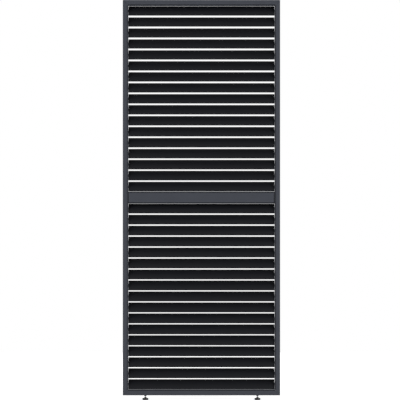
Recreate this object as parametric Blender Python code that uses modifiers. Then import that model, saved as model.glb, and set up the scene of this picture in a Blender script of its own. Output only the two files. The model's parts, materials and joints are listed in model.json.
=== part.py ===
"""Louvred privacy screen: a mitred aluminium frame with two openings of tilting blades.

Metres, +Z up. The origin is on the floor, midway between the two feet. +X runs to the right
of someone who looks at the front, and +Y runs away from them.
"""

import math

import bmesh
import bpy
from mathutils import Matrix, Vector

# Frame
FRAME_WIDTH = 0.900
FRAME_HEIGHT = 2.263
FRAME_DEPTH = 0.050
FRAME_WALL = 0.002
FRAME_EDGE_RADIUS = 0.0015
STILE_FACE = 0.031
RAIL_FACE = 0.034
GROUND_CLEARANCE = 0.028
SEAT_GAP = 0.0003
CUT_OVERRUN = 0.005
WELD_DISTANCE = 0.00001

# Mid rail, its end pads and its T brackets
MID_RAIL_FACE = 0.069
MID_RAIL_DEPTH = 0.048
LEFT_END_PAD_THICKNESS = 0.002
RIGHT_END_PAD_THICKNESS = 0.0037
BRACKET_HEAD_HEIGHT = 0.050
BRACKET_HEAD_THICKNESS = 0.004
BRACKET_NECK_HEIGHT = 0.040
BRACKET_PLUG_LENGTH = 0.030
BRACKET_PLUG_WALL = 0.003

# Corner cleats
CLEAT_RAIL_LEG = 0.060
CLEAT_STILE_LEG = 0.008
CLEAT_WEB = 0.003

# Blades
BLADES_PER_OPENING = 17
BLADE_CHORD = 0.0684
BLADE_THICKNESS = 0.011
BLADE_TIP_RADIUS = 0.0015
BLADE_WALL = 0.0012
BLADE_CORE_WIDTH = 0.0085
BLADE_TIP_SOLID = 0.006
BLADE_MARGIN = 0.0286
BLADE_END_SLIT = 0.001
BLADE_TILT = math.radians(36.5)
BLADE_SHUT_TILT = math.radians(35)
BLADE_LEVEL_TILT = math.radians(90)

# Pivot shafts and their bearing strips
SHAFT_RADIUS = 0.003
SHAFT_STAND_OUT = 0.001
BEARING_CLEARANCE = 0.0002
COLLAR_RADIUS = 0.0085
COLLAR_STAND_OUT = 0.0007
STRIP_SLOT = 0.026
STRIP_FLANGE = 0.002
STRIP_GRIP = 0.004

# Cranks and link rods
CRANK_REACH = 0.014
CRANK_THICKNESS = 0.003
CRANK_HUB_RADIUS = 0.0055
CRANK_EYE_RADIUS = 0.004
CRANK_GAP = 0.001
PIN_RADIUS = 0.002
PIN_STAND_OUT = 0.0015
ROD_WIDTH = 0.010
ROD_THICKNESS = 0.003
ROD_GAP = 0.0005
ROD_END = 0.007

# Feet
FOOT_INSET = 0.129
FOOT_PAD_RADIUS = 0.01725
FOOT_PAD_HEIGHT = 0.0125
FOOT_PAD_CHAMFER = 0.001
FOOT_PAD_SHOULDER = 0.002
FOOT_SOCKET_DEPTH = 0.006
FOOT_HEX_FLATS = 0.013
STEM_RADIUS = 0.004
STEM_HEX_HEIGHT = 0.0045
STEM_REACH = 0.020
NUT_HEX_HEIGHT = 0.0055
NUT_NECK_RADIUS = 0.0055
NUT_PLATE_LENGTH = 0.040
NUT_PLATE_THICKNESS = 0.006

# Facets of the round shapes
BEARING_SIDES = 8
PIN_SIDES = 6
FOOT_SIDES = 24
STEM_SIDES = 12
HEX_SIDES = 6
BLADE_ARC_STEPS = 4
BLADE_TIP_STEPS = 2
EDGE_STEPS = 2
SHOULDER_STEPS = 3
CRANK_STEPS = 3
SHARP_ANGLE = math.radians(30)

# Directions that a flat XY drawing is extruded in, as rotations
ALONG_X = (math.pi / 2, 0.0, math.pi / 2)
ALONG_Y = (math.pi / 2, 0.0, 0.0)
ALONG_Z = (0.0, 0.0, 0.0)

# Sizes that follow from the ones above
OPENING_HALF = FRAME_WIDTH / 2 - STILE_FACE
OPENING_HEIGHT = (FRAME_HEIGHT - 2 * RAIL_FACE - MID_RAIL_FACE) / 2
FRAME_MIDDLE = GROUND_CLEARANCE + FRAME_HEIGHT / 2
OPENING_OFFSET = (MID_RAIL_FACE + OPENING_HEIGHT) / 2
BLADE_PITCH = (OPENING_HEIGHT - 2 * BLADE_MARGIN) / (BLADES_PER_OPENING - 1)
BLADE_HALF_LENGTH = OPENING_HALF - BLADE_END_SLIT
STRIP_DEPTH = FRAME_WALL + SEAT_GAP + STRIP_FLANGE
CRANK_START = OPENING_HALF + STRIP_DEPTH + CRANK_GAP
CRANK_LEAD = (BLADE_SHUT_TILT + BLADE_LEVEL_TILT) / 2
ROD_START = CRANK_START + CRANK_THICKNESS + ROD_GAP
PIN_END = ROD_START + ROD_THICKNESS + PIN_STAND_OUT
MID_RAIL_LEFT_END = OPENING_HALF - LEFT_END_PAD_THICKNESS - 2 * SEAT_GAP
MID_RAIL_RIGHT_END = OPENING_HALF - RIGHT_END_PAD_THICKNESS - 2 * SEAT_GAP
FOOT_OFFSET = FRAME_WIDTH / 2 - FOOT_INSET
FOOT_HEX_RADIUS = FOOT_HEX_FLATS / 2 / math.cos(math.pi / HEX_SIDES)


def clear_scene():
    for item in list(bpy.data.objects):
        bpy.data.objects.remove(item, do_unlink=True)


def new_collection(name):
    collection = bpy.data.collections.new(name)
    bpy.context.scene.collection.children.link(collection)
    return collection


def linear(level):
    """One 0 to 255 display level as linear light."""
    share = level / 255
    return share / 12.92 if share <= 0.04045 else ((share + 0.055) / 1.055) ** 2.4


def new_material(name, display_colour, roughness, metallic):
    material = bpy.data.materials.new(name)
    material.use_nodes = True
    colour = [linear(level) for level in display_colour] + [1.0]
    shader = material.node_tree.nodes["Principled BSDF"]
    shader.inputs["Base Color"].default_value = colour
    shader.inputs["Roughness"].default_value = roughness
    shader.inputs["Metallic"].default_value = metallic
    material.diffuse_color = colour
    return material


def new_object(name, mesh, collection):
    item = bpy.data.objects.new(name, mesh)
    collection.objects.link(item)
    return item


def new_mesh(name, shape):
    """A mesh from a bmesh, which is freed."""
    mesh = bpy.data.meshes.new(name)
    shape.to_mesh(mesh)
    shape.free()
    return mesh


def baked(item):
    """The object's mesh with its modifiers and its place, welded. The object goes."""
    bpy.context.view_layer.update()
    evaluated = item.evaluated_get(bpy.context.evaluated_depsgraph_get())
    mesh = bpy.data.meshes.new_from_object(evaluated)
    mesh.transform(item.matrix_world)
    mesh.name = item.name
    bpy.data.objects.remove(item, do_unlink=True)
    shape = bmesh.new()
    shape.from_mesh(mesh)
    bmesh.ops.remove_doubles(shape, verts=shape.verts, dist=WELD_DISTANCE)
    bmesh.ops.recalc_face_normals(shape, faces=shape.faces)
    shape.to_mesh(mesh)
    shape.free()
    return mesh


def extruded(name, outlines, length, direction):
    """A mesh of the first outline, hollowed by the others, run out both ways from its drawing."""
    curve = bpy.data.curves.new(name, "CURVE")
    curve.dimensions = "2D"
    curve.fill_mode = "BOTH"
    curve.extrude = length / 2
    for outline in outlines:
        spline = curve.splines.new("POLY")
        spline.points.add(len(outline) - 1)
        for point, (first, second) in zip(spline.points, outline):
            point.co = (first, second, 0.0, 1.0)
        spline.use_cyclic_u = True
    item = new_object(name, curve, bpy.context.scene.collection)
    item.rotation_euler = direction
    return baked(item)


def bars_along_x(name, radius, sides, start, end, places):
    """Round bars from x = start to x = end, one at each (y, z) place, as one mesh."""
    shape = bmesh.new()
    half_facet = Matrix.Rotation(math.pi / sides, 4, "Z")
    turn = Matrix.Rotation(math.pi / 2, 4, "Y") @ half_facet
    for y, z in places:
        bmesh.ops.create_cone(
            shape,
            cap_ends=True,
            segments=sides,
            radius1=radius,
            radius2=radius,
            depth=end - start,
            matrix=Matrix.Translation(((start + end) / 2, y, z)) @ turn,
        )
    return new_mesh(name, shape)


def bar_along_z(name, radius, sides, base, top):
    shape = bmesh.new()
    bmesh.ops.create_cone(
        shape,
        cap_ends=True,
        segments=sides,
        radius1=radius,
        radius2=radius,
        depth=top - base,
        matrix=Matrix.Translation((0.0, 0.0, (base + top) / 2)),
    )
    return new_mesh(name, shape)


def block(name, low, high):
    """A box between two corners."""
    low = Vector(low)
    high = Vector(high)
    size = Matrix.Diagonal((*(high - low), 1.0))
    shape = bmesh.new()
    bmesh.ops.create_cube(shape, size=1.0, matrix=Matrix.Translation((low + high) / 2) @ size)
    return new_mesh(name, shape)


def draft(name, mesh):
    """An object that is only shaped here and then baked, with its origin at the scene's."""
    return new_object(name, mesh, bpy.context.scene.collection)


def combine(item, mesh, operation, cutters, place=(0.0, 0.0, 0.0)):
    """Adds or takes away a shape, which stays in the cutters collection."""
    cutter = new_object(f"{item.name} {mesh.name}", mesh, cutters)
    cutter.hide_render = True
    cutter.display_type = "WIRE"
    cutter.location = place
    modifier = item.modifiers.new(mesh.name, "BOOLEAN")
    modifier.operation = operation
    modifier.solver = "EXACT"
    modifier.object = cutter


def bore_radius(radius, clearance, sides):
    """Corner radius of a many-sided bore whose flats clear a round pin of this radius."""
    return (radius + clearance) / math.cos(math.pi / sides)


def rectangle(width, height):
    half_width = width / 2
    half_height = height / 2
    return [
        (-half_width, -half_height),
        (half_width, -half_height),
        (half_width, half_height),
        (-half_width, half_height),
    ]


def rounded_rectangle(width, height, radius):
    points = []
    for turn, (side_x, side_y) in enumerate(((1, -1), (1, 1), (-1, 1), (-1, -1))):
        middle_x = side_x * (width / 2 - radius)
        middle_y = side_y * (height / 2 - radius)
        for step in range(EDGE_STEPS + 1):
            angle = (turn - 1 + step / EDGE_STEPS) * math.pi / 2
            points.append((middle_x + radius * math.cos(angle), middle_y + radius * math.sin(angle)))
    return points


def link_outline(first, second, first_radius, second_radius, steps):
    """A strap round two circles: points (y, z), half circles as arcs of this many steps."""
    run = Vector(second) - Vector(first)
    heading = math.atan2(run.y, run.x)
    flare = math.acos((first_radius - second_radius) / run.length)
    points = []
    ends = (
        (first, first_radius, flare, 2 * math.pi - flare),
        (second, second_radius, -flare, flare),
    )
    for middle, radius, start, stop in ends:
        for step in range(steps + 1):
            angle = heading + start + (stop - start) * step / steps
            points.append((middle[0] + radius * math.cos(angle), middle[1] + radius * math.sin(angle)))
    return points


def mitre_block(name, corner, flips, past):
    """All that lies past a mitre through the outer corner (x, z), with half the seat gap.

    flips mirror it in x and z, and past is 1 on the rail's side and -1 on the stile's.
    """
    reach = STILE_FACE + RAIL_FACE
    along = Vector((STILE_FACE, RAIL_FACE)).normalized()
    across = Vector((-along.y, along.x)) * past
    inner = -along * reach - across * SEAT_GAP / 2
    outer = along * CUT_OVERRUN - across * SEAT_GAP / 2
    points = (inner, outer, outer + across * reach, inner + across * reach)
    outline = [(corner[0] + flips[0] * p.x, corner[1] + flips[1] * p.y) for p in points]
    return extruded(name, [outline], FRAME_DEPTH + 2 * CUT_OVERRUN, ALONG_Y)


def stile_section():
    """A box section, open in the middle of the side that faces the blades, at -X."""
    outside = rounded_rectangle(STILE_FACE, FRAME_DEPTH, FRAME_EDGE_RADIUS)
    corner_points = EDGE_STEPS + 1
    face_x = STILE_FACE / 2
    lip = STRIP_SLOT / 2
    inner_x = face_x - FRAME_WALL
    inner_y = FRAME_DEPTH / 2 - FRAME_WALL
    from_slot = [(-face_x, -lip)] + outside[-corner_points:] + outside[:-corner_points]
    back_to_slot = [
        (-face_x, lip),
        (-inner_x, lip),
        (-inner_x, inner_y),
        (inner_x, inner_y),
        (inner_x, -inner_y),
        (-inner_x, -inner_y),
        (-inner_x, -lip),
    ]
    return from_slot + back_to_slot


def stile_mesh(cutters):
    half = FRAME_HEIGHT / 2
    section = extruded("stile section", [stile_section()], FRAME_HEIGHT, ALONG_Z)
    stile = draft("stile", section)
    for end in (1, -1):
        corner = (STILE_FACE / 2, end * half)
        mitre = mitre_block(f"mitre {end}", corner, (1, end), 1)
        combine(stile, mitre, "DIFFERENCE", cutters)
    return baked(stile)


def rail_mesh(cutters):
    half = FRAME_WIDTH / 2
    outside = rounded_rectangle(FRAME_DEPTH, RAIL_FACE, FRAME_EDGE_RADIUS)
    hollow = rectangle(FRAME_DEPTH - 2 * FRAME_WALL, RAIL_FACE - 2 * FRAME_WALL)
    section = extruded("rail section", [outside, hollow], FRAME_WIDTH, ALONG_X)
    rail = draft("rail", section)
    for end in (1, -1):
        corner = (end * half, RAIL_FACE / 2)
        mitre = mitre_block(f"mitre {end}", corner, (end, 1), -1)
        combine(rail, mitre, "DIFFERENCE", cutters)
    return baked(rail)


def add_frame(parts, cutters, finish):
    """Two stiles and two rails, the far ones being the near ones turned round."""
    stile = stile_mesh(cutters)
    for name, side, turn in (("right_stile", 1, 0.0), ("left_stile", -1, math.pi)):
        item = new_object(name, stile, parts)
        item.location = (side * (FRAME_WIDTH - STILE_FACE) / 2, 0.0, FRAME_MIDDLE)
        item.rotation_euler.z = turn
    rail = rail_mesh(cutters)
    top_rail = new_object("top_rail", rail, parts)
    top_rail.location.z = FRAME_MIDDLE + (FRAME_HEIGHT - RAIL_FACE) / 2
    bottom_rail = new_object("bottom_rail", rail.copy(), parts)
    bottom_rail.location.z = FRAME_MIDDLE - (FRAME_HEIGHT - RAIL_FACE) / 2
    bottom_rail.rotation_euler.x = math.pi
    add_foot_holes(bottom_rail, cutters)
    for mesh in (stile, rail, bottom_rail.data):
        mesh.materials.append(finish)


def add_foot_holes(bottom_rail, cutters):
    """One hole for each foot nut's neck through the rail's lower wall."""
    radius = bore_radius(NUT_NECK_RADIUS, SEAT_GAP, STEM_SIDES)
    hole = bar_along_z("foot hole", radius, STEM_SIDES, -CUT_OVERRUN, FRAME_WALL + CUT_OVERRUN)
    for side in (-1, 1):
        place = (side * FOOT_OFFSET, 0.0, GROUND_CLEARANCE)
        combine(bottom_rail, hole, "DIFFERENCE", cutters, place)


def cleat_outlines():
    """An L with its outer corner at the origin, legs towards -X and -Z, and two pockets."""
    seat = FRAME_WALL + SEAT_GAP
    mitred_wall = FRAME_WALL * max(1, RAIL_FACE / STILE_FACE)
    leg_inside = -(STILE_FACE - STRIP_DEPTH - SEAT_GAP)
    rail_underside = -(RAIL_FACE - mitred_wall - SEAT_GAP)
    rail_end = -(STILE_FACE + CLEAT_RAIL_LEG)
    stile_end = -(RAIL_FACE + CLEAT_STILE_LEG)
    outside = [
        (-seat, -seat),
        (rail_end, -seat),
        (rail_end, rail_underside),
        (leg_inside, rail_underside),
        (leg_inside, stile_end),
        (-seat, stile_end),
    ]
    rail_pocket = [
        (leg_inside, -seat - CLEAT_WEB),
        (rail_end + CLEAT_WEB, -seat - CLEAT_WEB),
        (rail_end + CLEAT_WEB, rail_underside + CLEAT_WEB),
        (leg_inside, rail_underside + CLEAT_WEB),
    ]
    stile_pocket = [
        (-seat - CLEAT_WEB, -seat - CLEAT_WEB),
        (leg_inside + CLEAT_WEB, -seat - CLEAT_WEB),
        (leg_inside + CLEAT_WEB, stile_end + CLEAT_WEB),
        (-seat - CLEAT_WEB, stile_end + CLEAT_WEB),
    ]
    return [outside, rail_pocket, stile_pocket]


def add_corner_cleats(parts, finish):
    width = FRAME_DEPTH - 2 * (FRAME_WALL + SEAT_GAP)
    mesh = extruded("corner cleat", cleat_outlines(), width, ALONG_Y)
    mesh.materials.append(finish)
    half_turn = math.pi
    corners = (
        ("top_right_corner_cleat", 1, 1, (0.0, 0.0, 0.0)),
        ("top_left_corner_cleat", -1, 1, (0.0, 0.0, half_turn)),
        ("bottom_right_corner_cleat", 1, -1, (half_turn, 0.0, 0.0)),
        ("bottom_left_corner_cleat", -1, -1, (0.0, half_turn, 0.0)),
    )
    for name, side, level, turn in corners:
        cleat = new_object(name, mesh, parts)
        cleat.location = (side * FRAME_WIDTH / 2, 0.0, FRAME_MIDDLE + level * FRAME_HEIGHT / 2)
        cleat.rotation_euler = turn


def add_mid_rail(parts, finish):
    outside = rounded_rectangle(MID_RAIL_DEPTH, MID_RAIL_FACE, FRAME_EDGE_RADIUS)
    hollow = rectangle(MID_RAIL_DEPTH - 2 * FRAME_WALL, MID_RAIL_FACE - 2 * FRAME_WALL)
    length = MID_RAIL_LEFT_END + MID_RAIL_RIGHT_END
    mesh = extruded("mid rail", [outside, hollow], length, ALONG_X)
    mesh.materials.append(finish)
    mid_rail = new_object("mid_rail", mesh, parts)
    mid_rail.location = ((MID_RAIL_RIGHT_END - MID_RAIL_LEFT_END) / 2, 0.0, FRAME_MIDDLE)


def add_end_pads(parts, finish):
    """Thin pads between the mid rail and the stiles, cut out for the brackets' necks."""
    outside = rounded_rectangle(MID_RAIL_DEPTH, MID_RAIL_FACE, FRAME_EDGE_RADIUS)
    cut_out = rectangle(STRIP_SLOT, BRACKET_NECK_HEIGHT + 2 * SEAT_GAP)
    for name, side, thickness in (
        ("left_end_pad", -1, LEFT_END_PAD_THICKNESS),
        ("right_end_pad", 1, RIGHT_END_PAD_THICKNESS),
    ):
        mesh = extruded("end pad", [outside, cut_out], thickness, ALONG_X)
        mesh.materials.append(finish)
        pad = new_object(name, mesh, parts)
        pad.location = (side * (OPENING_HALF - SEAT_GAP - thickness / 2), 0.0, FRAME_MIDDLE)


def bracket_mesh(rail_end, cutters):
    """A head behind the stile's lips, a neck through its slot and a plug in the mid rail.

    The stile's face is at x = 0, and the mid rail lies towards -X. rail_end is how far the mid
    rail reaches from the frame's middle.
    """
    head_start = FRAME_WALL + SEAT_GAP
    head_end = head_start + BRACKET_HEAD_THICKNESS
    head_y = STRIP_SLOT / 2 + STRIP_GRIP
    head_z = BRACKET_HEAD_HEIGHT / 2
    neck_y = STRIP_SLOT / 2 - SEAT_GAP
    neck_z = BRACKET_NECK_HEIGHT / 2
    plug_start = rail_end - OPENING_HALF
    plug_end = plug_start - BRACKET_PLUG_LENGTH
    plug_y = MID_RAIL_DEPTH / 2 - FRAME_WALL - SEAT_GAP
    plug_z = MID_RAIL_FACE / 2 - FRAME_WALL - SEAT_GAP
    pocket_y = plug_y - BRACKET_PLUG_WALL
    pocket_z = plug_z - BRACKET_PLUG_WALL
    neck_end = plug_start - BRACKET_PLUG_WALL / 2
    head = block("head", (head_start, -head_y, -head_z), (head_end, head_y, head_z))
    neck = block("neck", (neck_end, -neck_y, -neck_z), (head_end - head_start, neck_y, neck_z))
    plug = block("plug", (plug_end, -plug_y, -plug_z), (plug_start, plug_y, plug_z))
    pocket = block(
        "pocket",
        (plug_end - CUT_OVERRUN, -pocket_y, -pocket_z),
        (plug_start - BRACKET_PLUG_WALL, pocket_y, pocket_z),
    )
    bracket = draft("bracket", plug)
    combine(bracket, pocket, "DIFFERENCE", cutters)
    combine(bracket, neck, "UNION", cutters)
    combine(bracket, head, "UNION", cutters)
    return baked(bracket)


def add_brackets(parts, cutters, finish):
    for name, side, turn, rail_end in (
        ("right_t_bracket", 1, 0.0, MID_RAIL_RIGHT_END),
        ("left_t_bracket", -1, math.pi, MID_RAIL_LEFT_END),
    ):
        mesh = bracket_mesh(rail_end, cutters)
        mesh.materials.append(finish)
        bracket = new_object(name, mesh, parts)
        bracket.location = (side * OPENING_HALF, 0.0, FRAME_MIDDLE)
        bracket.rotation_euler.z = turn


def blade_heights():
    """Pivot heights of one opening's blades from the top, about the opening's middle."""
    top = (BLADES_PER_OPENING - 1) * BLADE_PITCH / 2
    return [top - index * BLADE_PITCH for index in range(BLADES_PER_OPENING)]


def strip_mesh(cutters):
    """A strip clipped behind the stile's lips, with a bored collar for every blade.

    The stile's face is at x = 0, and the blades lie towards -X.
    """
    tongue = STRIP_SLOT / 2 - SEAT_GAP
    flange = STRIP_SLOT / 2 + STRIP_GRIP
    flange_start = FRAME_WALL + SEAT_GAP
    section = [
        (0.0, -tongue),
        (flange_start, -tongue),
        (flange_start, -flange),
        (STRIP_DEPTH, -flange),
        (STRIP_DEPTH, flange),
        (flange_start, flange),
        (flange_start, tongue),
        (0.0, tongue),
    ]
    places = [(0.0, height) for height in blade_heights()]
    length = OPENING_HEIGHT - 2 * SEAT_GAP
    strip = draft("strip", extruded("strip section", [section], length, ALONG_Z))
    collars = bars_along_x(
        "collars", COLLAR_RADIUS, BEARING_SIDES, -COLLAR_STAND_OUT, STRIP_DEPTH / 2, places
    )
    bores = bars_along_x(
        "bores",
        bore_radius(SHAFT_RADIUS, BEARING_CLEARANCE, BEARING_SIDES),
        BEARING_SIDES,
        -COLLAR_STAND_OUT - CUT_OVERRUN,
        STRIP_DEPTH + CUT_OVERRUN,
        places,
    )
    combine(strip, collars, "UNION", cutters)
    combine(strip, bores, "DIFFERENCE", cutters)
    return baked(strip)


def add_bearing_strips(parts, cutters, finish):
    mesh = strip_mesh(cutters)
    mesh.materials.append(finish)
    for opening, level in (("upper", 1), ("lower", -1)):
        for hand, side, turn in (("right", 1, 0.0), ("left", -1, math.pi)):
            strip = new_object(f"{opening}_{hand}_bearing_strip", mesh, parts)
            strip.location = (side * OPENING_HALF, 0.0, FRAME_MIDDLE + level * OPENING_OFFSET)
            strip.rotation_euler.z = turn


def lens_geometry():
    """Radius of the two faces' arcs about the tips' middles, their half angle, and their offset."""
    half_run = BLADE_CHORD / 2 - BLADE_TIP_RADIUS
    rise = BLADE_THICKNESS / 2 - BLADE_TIP_RADIUS
    radius = (half_run**2 + rise**2) / (2 * rise)
    return radius, math.asin(half_run / radius), rise - radius


def blade_outline():
    """A slim lens with round tips: points (y, z), its chord along z."""
    radius, half_angle, offset = lens_geometry()
    face_radius = radius + BLADE_TIP_RADIUS
    tip_middle = BLADE_CHORD / 2 - BLADE_TIP_RADIUS
    tip_turn = math.pi - 2 * half_angle
    points = []
    for side in (1, -1):
        for step in range(BLADE_ARC_STEPS + 1):
            angle = half_angle * (2 * step / BLADE_ARC_STEPS - 1)
            across = face_radius * math.cos(angle) + offset
            points.append((side * across, side * face_radius * math.sin(angle)))
        for step in range(1, BLADE_TIP_STEPS):
            angle = half_angle + tip_turn * step / BLADE_TIP_STEPS
            across = BLADE_TIP_RADIUS * math.cos(angle)
            along = tip_middle + BLADE_TIP_RADIUS * math.sin(angle)
            points.append((side * across, side * along))
    return points


def chamber_outline(side):
    """The hollow between the blade's core and one tip, a wall inside its faces."""
    radius, _, offset = lens_geometry()
    inner_radius = radius + BLADE_TIP_RADIUS - BLADE_WALL
    near = BLADE_CORE_WIDTH / 2
    far = BLADE_CHORD / 2 - BLADE_TIP_SOLID
    near_half = math.sqrt(inner_radius**2 - near**2) + offset
    far_half = math.sqrt(inner_radius**2 - far**2) + offset
    return [
        (near_half, side * near),
        (far_half, side * far),
        (-far_half, side * far),
        (-near_half, side * near),
    ]


def blade_mesh(cutters):
    """One hollow blade about its pivot axis, with both shafts, the crank and its pin."""
    eye = (CRANK_REACH * math.cos(CRANK_LEAD), CRANK_REACH * math.sin(CRANK_LEAD))
    centre = [(0.0, 0.0)]
    shaft_end = OPENING_HALF + STRIP_DEPTH + SHAFT_STAND_OUT
    root = BLADE_HALF_LENGTH - CUT_OVERRUN
    crank_middle = CRANK_START + CRANK_THICKNESS / 2
    section = [blade_outline(), chamber_outline(1), chamber_outline(-1)]
    crank_outline = link_outline((0.0, 0.0), eye, CRANK_HUB_RADIUS, CRANK_EYE_RADIUS, CRANK_STEPS)
    blade = draft("blade", extruded("blade section", section, 2 * BLADE_HALF_LENGTH, ALONG_X))
    crank = extruded("crank", [crank_outline], CRANK_THICKNESS, ALONG_X)
    crank.transform(Matrix.Translation((crank_middle, 0.0, 0.0)))
    left_shaft = bars_along_x("left shaft", SHAFT_RADIUS, BEARING_SIDES, -shaft_end, -root, centre)
    right_shaft = bars_along_x(
        "right shaft", SHAFT_RADIUS, BEARING_SIDES, root, crank_middle, centre
    )
    pin = bars_along_x("pin", PIN_RADIUS, PIN_SIDES, crank_middle, PIN_END, [eye])
    for mesh in (left_shaft, right_shaft, crank, pin):
        combine(blade, mesh, "UNION", cutters)
    return baked(blade)


def add_blades(parts, cutters, finish):
    mesh = blade_mesh(cutters)
    mesh.materials.append(finish)
    mesh.shade_smooth()
    mesh.set_sharp_from_angle(angle=SHARP_ANGLE)
    for opening, level in (("upper", 1), ("lower", -1)):
        middle = FRAME_MIDDLE + level * OPENING_OFFSET
        for number, height in enumerate(blade_heights(), start=1):
            blade = new_object(f"{opening}_blade_{number:02d}", mesh, parts)
            blade.location.z = middle + height
            blade.rotation_euler.x = -BLADE_TILT


def rod_mesh(cutters):
    """A strap with a hole for every crank pin, hung from the first hole's axis."""
    heights = blade_heights()
    places = [(0.0, height - heights[0]) for height in heights]
    end_offset = ROD_END - ROD_WIDTH / 2
    top = (0.0, end_offset)
    bottom = (0.0, places[-1][1] - end_offset)
    outline = link_outline(top, bottom, ROD_WIDTH / 2, ROD_WIDTH / 2, CRANK_STEPS)
    hole_radius = bore_radius(PIN_RADIUS, BEARING_CLEARANCE, PIN_SIDES)
    rod = draft("rod", extruded("rod strap", [outline], ROD_THICKNESS, ALONG_X))
    half = ROD_THICKNESS / 2 + CUT_OVERRUN
    holes = bars_along_x("holes", hole_radius, PIN_SIDES, -half, half, places)
    combine(rod, holes, "DIFFERENCE", cutters)
    return baked(rod)


def add_link_rods(parts, cutters, finish):
    """One rod in the right stile for each opening, where the tilted cranks hold it."""
    mesh = rod_mesh(cutters)
    mesh.materials.append(finish)
    angle = CRANK_LEAD - BLADE_TILT
    pin_y = CRANK_REACH * math.cos(angle)
    pin_z = CRANK_REACH * math.sin(angle)
    first = blade_heights()[0]
    for opening, level in (("upper", 1), ("lower", -1)):
        rod = new_object(f"{opening}_link_rod", mesh, parts)
        rod.location = (
            ROD_START + ROD_THICKNESS / 2,
            pin_y,
            FRAME_MIDDLE + level * OPENING_OFFSET + first + pin_z,
        )


def foot_pad_mesh():
    """A turned pad with a rounded shoulder and a blind socket for the stem."""
    socket_radius = bore_radius(STEM_RADIUS, SEAT_GAP, FOOT_SIDES)
    shoulder_x = FOOT_PAD_RADIUS - FOOT_PAD_SHOULDER
    shoulder_z = FOOT_PAD_HEIGHT - FOOT_PAD_SHOULDER
    profile = [
        (0.0, FOOT_PAD_HEIGHT - FOOT_SOCKET_DEPTH),
        (socket_radius, FOOT_PAD_HEIGHT - FOOT_SOCKET_DEPTH),
        (socket_radius, FOOT_PAD_HEIGHT),
    ]
    for step in range(SHOULDER_STEPS + 1):
        angle = math.pi / 2 * (1 - step / SHOULDER_STEPS)
        out = shoulder_x + FOOT_PAD_SHOULDER * math.cos(angle)
        profile.append((out, shoulder_z + FOOT_PAD_SHOULDER * math.sin(angle)))
    profile += [
        (FOOT_PAD_RADIUS, FOOT_PAD_CHAMFER),
        (FOOT_PAD_RADIUS - FOOT_PAD_CHAMFER, 0.0),
        (0.0, 0.0),
    ]
    shape = bmesh.new()
    corners = [shape.verts.new((x, 0.0, z)) for x, z in profile]
    for first, second in zip(corners, corners[1:]):
        shape.edges.new((first, second))
    pad = draft("foot pad", new_mesh("foot pad", shape))
    turned = pad.modifiers.new("turned", "SCREW")
    turned.steps = FOOT_SIDES
    turned.render_steps = FOOT_SIDES
    turned.use_merge_vertices = True
    turned.merge_threshold = WELD_DISTANCE
    return baked(pad)


def foot_stem_mesh(cutters):
    """A threaded bar's core with its spanner hexagon, standing in the pad's socket."""
    base = FOOT_PAD_HEIGHT - FOOT_SOCKET_DEPTH + SEAT_GAP
    hex_base = FOOT_PAD_HEIGHT + SEAT_GAP
    hex_top = hex_base + STEM_HEX_HEIGHT
    bar = bar_along_z("stem", STEM_RADIUS, STEM_SIDES, base, GROUND_CLEARANCE + STEM_REACH)
    hexagon = bar_along_z("hexagon", FOOT_HEX_RADIUS, HEX_SIDES, hex_base, hex_top)
    stem = draft("stem", bar)
    combine(stem, hexagon, "UNION", cutters)
    return baked(stem)


def foot_nut_mesh(cutters):
    """A plate on the rail's lower wall, a neck through it and a hexagon below, bored through.

    The rail's underside is at z = 0.
    """
    half_x = NUT_PLATE_LENGTH / 2
    half_y = FRAME_DEPTH / 2 - FRAME_WALL - SEAT_GAP
    base = FRAME_WALL + SEAT_GAP
    top = base + NUT_PLATE_THICKNESS
    hex_base = -SEAT_GAP - NUT_HEX_HEIGHT
    plate = block("plate", (-half_x, -half_y, base), (half_x, half_y, top))
    neck = bar_along_z("neck", NUT_NECK_RADIUS, STEM_SIDES, hex_base / 2, (base + top) / 2)
    hexagon = bar_along_z("hexagon", FOOT_HEX_RADIUS, HEX_SIDES, hex_base, -SEAT_GAP)
    radius = bore_radius(STEM_RADIUS, BEARING_CLEARANCE, STEM_SIDES)
    bore = bar_along_z("bore", radius, STEM_SIDES, hex_base - CUT_OVERRUN, top + CUT_OVERRUN)
    nut = draft("nut", plate)
    combine(nut, neck, "UNION", cutters)
    combine(nut, hexagon, "UNION", cutters)
    combine(nut, bore, "DIFFERENCE", cutters)
    return baked(nut)


def add_feet(parts, cutters, plastic, zinc, black_zinc):
    pad_mesh = foot_pad_mesh()
    stem_mesh = foot_stem_mesh(cutters)
    nut_mesh = foot_nut_mesh(cutters)
    pad_mesh.materials.append(plastic)
    stem_mesh.materials.append(zinc)
    nut_mesh.materials.append(black_zinc)
    for mesh in (pad_mesh, stem_mesh):
        mesh.shade_smooth()
        mesh.set_sharp_from_angle(angle=SHARP_ANGLE)
    for hand, side in (("left", -1), ("right", 1)):
        foot_x = side * FOOT_OFFSET
        new_object(f"{hand}_foot_pad", pad_mesh, parts).location.x = foot_x
        new_object(f"{hand}_foot_stem", stem_mesh, parts).location.x = foot_x
        nut = new_object(f"{hand}_foot_nut", nut_mesh, parts)
        nut.location = (foot_x, 0.0, GROUND_CLEARANCE)


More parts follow.
